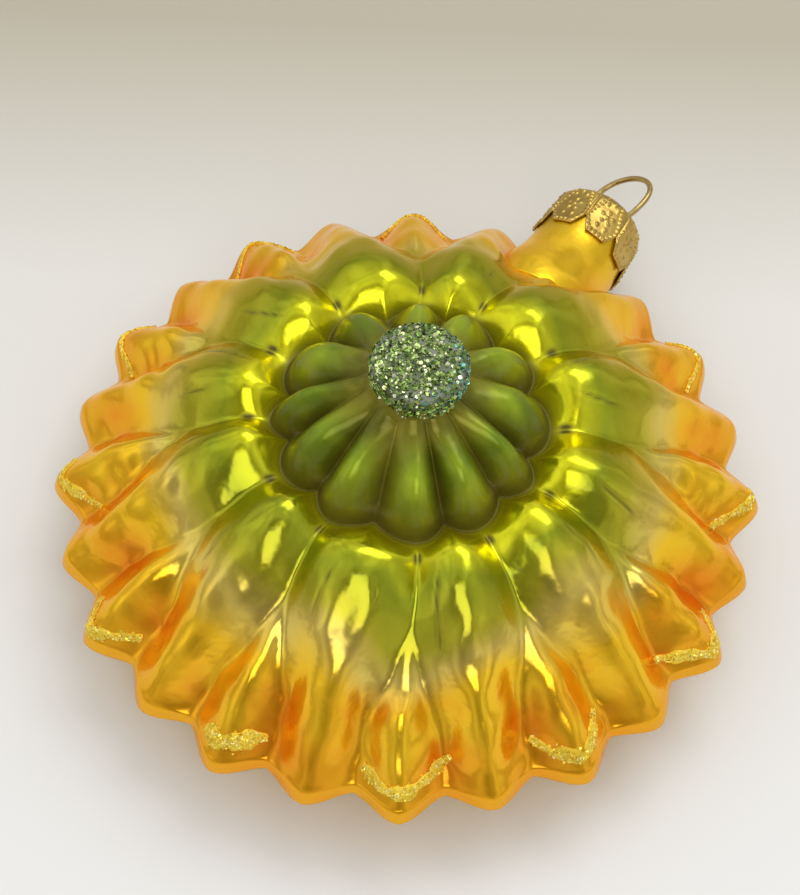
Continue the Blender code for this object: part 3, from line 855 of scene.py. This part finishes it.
def build_cap(finish):
    """The stamped crown cap: one thin sheet, its outside in relief and its inside plain."""
    turns = np.linspace(0, 2 * math.pi, CAP_COLUMNS, endpoint=False)
    outer = []
    for radius in CAP_RINGS:
        dish = 0.0003 * (1 - (radius / 0.0048) ** 2)
        outer.append((np.full(CAP_COLUMNS, radius), np.full(CAP_COLUMNS, CAP_TOP - dish - 0.0001)))
    outer.extend(cap_skirt(turns, step) for step in np.linspace(0, 1, CAP_ROWS))
    inner = [(radius - SHEET, y + 0.00002 * i) for i, (radius, y) in enumerate(outer[:4:-6])]
    rows = []
    for radius, y in [*outer, *inner]:
        x, z = NECK_X + radius * np.sin(turns), RIM + radius * np.cos(turns)
        rows.append(np.stack([x, y, z], axis=-1))
    poles = [[NECK_X, CAP_TOP - 0.0004, RIM], [NECK_X, CAP_TOP - 0.0009, RIM]]
    points = np.concatenate([*rows, poles])
    piece = mesh_piece("stamped_cap", points, ring_faces(len(rows), CAP_COLUMNS, -1), [finish])
    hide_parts("crown_cap")
    return piece


WIRE_TURN = math.radians(34)
WIRE_RADIUS, WIRE_SIDES = 0.00044, 14
LOOP_HALF_WIDTH, LOOP_Y, LOOP_RISE, LOOP_FALL = 0.0051, 0.0640, 0.0046, 0.0066
LEG = ((0.0040, wire_low.y), (0.0040, 0.0500), (0.0037, 0.0545), (0.0033, 0.0575))  # aside, y


def build_wire(finish):
    """The sprung hanger: a loop outside the cap, on two legs inside the neck."""
    entry = math.asin((CAP_TOP - LOOP_Y) / LOOP_FALL)
    angles = np.linspace(entry, math.pi - entry, 90)
    tall = np.where(np.sin(angles) > 0, LOOP_RISE, LOOP_FALL)
    loop = np.stack([LOOP_HALF_WIDTH * np.cos(angles), LOOP_Y + tall * np.sin(angles)], axis=-1)
    leg = np.array(LEG)
    aside, y = np.concatenate([leg, loop, leg[::-1] * np.array([-1, 1])]).T
    path = np.stack([aside * math.cos(WIRE_TURN), y, RIM + aside * math.sin(WIRE_TURN)], axis=-1)
    across = np.array([-math.sin(WIRE_TURN), 0, math.cos(WIRE_TURN)])
    piece = mesh_piece("sprung_wire", *tube(path, WIRE_RADIUS, WIRE_SIDES, across), [finish])
    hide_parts("hanger_wire")
    return piece


# ---------------------------------------------------------------- scene

FLOOR_HALF = 1.6
FLOOR_STOPS = ((0.20, (0.84, 0.85, 0.85)), (0.72, (0.78, 0.77, 0.74)), (1.0, (0.50, 0.46, 0.36)))


def build_floor():
    """A pale table top that turns beige and dims away from the light."""
    mesh = bpy.data.meshes.new("floor")
    corners = [(x * FLOOR_HALF, y * FLOOR_HALF, 0) for x, y in ((-1, -1), (1, -1), (1, 1), (-1, 1))]
    mesh.from_pydata(corners, [], [(0, 1, 2, 3)])
    made, tree, shader = new_material("floor")
    place = node(tree, "ShaderNodeTexCoord").outputs["Object"]
    away = node(tree, "ShaderNodeVectorMath", operation="DOT_PRODUCT")
    tree.links.new(place, away.inputs[0])
    away.inputs[1].default_value = (-0.49, 0.87, 0.0)
    far = math_node(tree, "MULTIPLY_ADD", away.outputs["Value"], 5.0, 0.5)
    tint = ramp(tree, far, FLOOR_STOPS)
    tree.links.new(tint, shader.inputs["Base Color"])
    shader.inputs["Roughness"].default_value = 0.6
    mesh.materials.append(made)
    floor = bpy.data.objects.new("floor", mesh)
    bpy.context.scene.collection.objects.link(floor)


def area_light(name, place, size, power, colour):
    """A soft light that looks at the middle of the flower."""
    data = bpy.data.lights.new(name, "AREA")
    data.shape = "RECTANGLE"
    data.size, data.size_y = size
    data.energy = power
    data.color = colour
    light = bpy.data.objects.new(name, data)
    light.location = place
    light.rotation_euler = (-Vector(place)).to_track_quat("-Z", "Y").to_euler()
    bpy.context.scene.collection.objects.link(light)


def build_world():
    """A pale room: bright above, beige low down, and dim on the side where the photographer stood."""
    world = bpy.data.worlds.new("room")
    bpy.context.scene.world = world
    world.use_nodes = True
    tree = world.node_tree
    background = tree.nodes["Background"]
    direction = node(tree, "ShaderNodeTexCoord").outputs["Generated"]
    split = node(tree, "ShaderNodeSeparateXYZ")
    tree.links.new(direction, split.inputs[0])
    lifted = scaled(tree, split.outputs["Z"], 0.5, 1.0)
    room = ramp(tree, lifted, (
        (0.50, (0.46, 0.43, 0.36)), (0.62, (0.66, 0.64, 0.59)), (0.80, (0.94, 0.94, 0.94)),
        (0.95, (1.10, 1.11, 1.12)),
    ))
    facing = node(tree, "ShaderNodeVectorMath", operation="DOT_PRODUCT")
    tree.links.new(direction, facing.inputs[0])
    facing.inputs[1].default_value = (0.34, -0.60, 0.72)
    shade = ramp(tree, facing.outputs["Value"], ((0.70, (1, 1, 1)), (0.90, (0.20, 0.18, 0.16))))
    room = blend_colour(tree, 1.0, room, shade, "MULTIPLY")
    clutter = node(tree, "ShaderNodeTexNoise", Scale=2.6, Detail=1.0)
    tree.links.new(direction, clutter.inputs["Vector"])
    patches = ramp(tree, clutter.outputs["Fac"], ((0.40, (0.55, 0.55, 0.55)), (0.60, (1.0, 1.0, 1.0))))
    tree.links.new(blend_colour(tree, 1.0, room, patches, "MULTIPLY"), background.inputs["Color"])
    background.inputs["Strength"].default_value = 1.18


CAMERA_AZIMUTH, CAMERA_ELEVATION, CAMERA_ROLL = (math.radians(angle) for angle in (29.37, 57.45, 2.36))
CAMERA_DISTANCE = 6.538 * TIP
CAMERA_TARGET = (-0.102 * TIP, 0.131 * TIP, RIM)
CAMERA_LENS = 91.3


def build_camera():
    """The photo's camera."""
    level, lift = math.cos(CAMERA_ELEVATION), math.sin(CAMERA_ELEVATION)
    back = Vector((math.sin(CAMERA_AZIMUTH) * level, -math.cos(CAMERA_AZIMUTH) * level, lift))
    right = (-back).cross(Vector((0, 0, 1))).normalized()
    up = right.cross(-back)
    rolled_right = math.cos(CAMERA_ROLL) * right + math.sin(CAMERA_ROLL) * up
    rolled_up = -math.sin(CAMERA_ROLL) * right + math.cos(CAMERA_ROLL) * up
    data = bpy.data.cameras.new("camera")
    data.sensor_width = 36.0
    data.lens = CAMERA_LENS
    camera = bpy.data.objects.new("camera", data)
    turned = Matrix((rolled_right, rolled_up, back)).transposed().to_4x4()
    camera.matrix_world = Matrix.Translation(Vector(CAMERA_TARGET) + CAMERA_DISTANCE * back) @ turned
    bpy.context.scene.collection.objects.link(camera)
    bpy.context.scene.camera = camera


# Each flake has a value of 0 to 1, which picks its colour from these
STEM_FLAKE_STOPS = (
    (0.00, (0.010, 0.012, 0.010)), (0.012, (0.06, 0.11, 0.02)), (0.35, (0.20, 0.32, 0.07)),
    (0.60, (0.42, 0.56, 0.18)), (0.72, (0.62, 0.68, 0.30)), (0.82, (0.95, 0.93, 0.75)),
    (0.88, (0.10, 0.30, 0.24)), (1.00, (0.30, 0.56, 0.48)),
)
PETAL_FLAKE_STOPS = (
    (0.0, (0.60, 0.38, 0.02)), (0.4, (0.92, 0.66, 0.04)), (0.8, (1.0, 0.84, 0.12)), (1.0, (1.0, 0.94, 0.50)),
)


def ride(piece):
    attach(piece, "root")


def main():
    glass = lacquered_glass()
    ride(build_glass(glass))
    ride(build_neck(glass))
    stem_glue = glue("stem_glue", (0.10, 0.14, 0.06), (0.24, 0.26, 0.20), 0.3)
    stem_flakes = flake_finish("stem_flakes", 0.85, STEM_FLAKE_STOPS)
    ride(build_crust((stem_glue, stem_flakes)))
    petal_glue = glue("petal_glue", (0.70, 0.46, 0.015), (0.95, 0.70, 0.04), 0.3)
    petal_flakes = flake_finish("petal_flakes", 0.5, PETAL_FLAKE_STOPS)
    for number, line in enumerate(TRIM_LINES, start=1):
        ride(build_trim(number, line, (petal_glue, petal_flakes)))
    ride(build_cap(gold_metal("stamped_gold", (0.66, 0.45, 0.110), 260.0)))
    ride(build_wire(gold_metal("wire_gold", (0.56, 0.41, 0.15), 500.0)))
    build_floor()
    build_world()
    area_light("window", (0.05, 0.52, 0.80), (0.65, 0.50), 2.1, (1.0, 0.99, 0.97))
    area_light("lamp", (0.31, -0.50, 0.76), (0.60, 0.60), 2.5, (1.0, 0.98, 0.95))
    build_camera()
    bpy.context.scene.view_settings.view_transform = "Standard"


main()
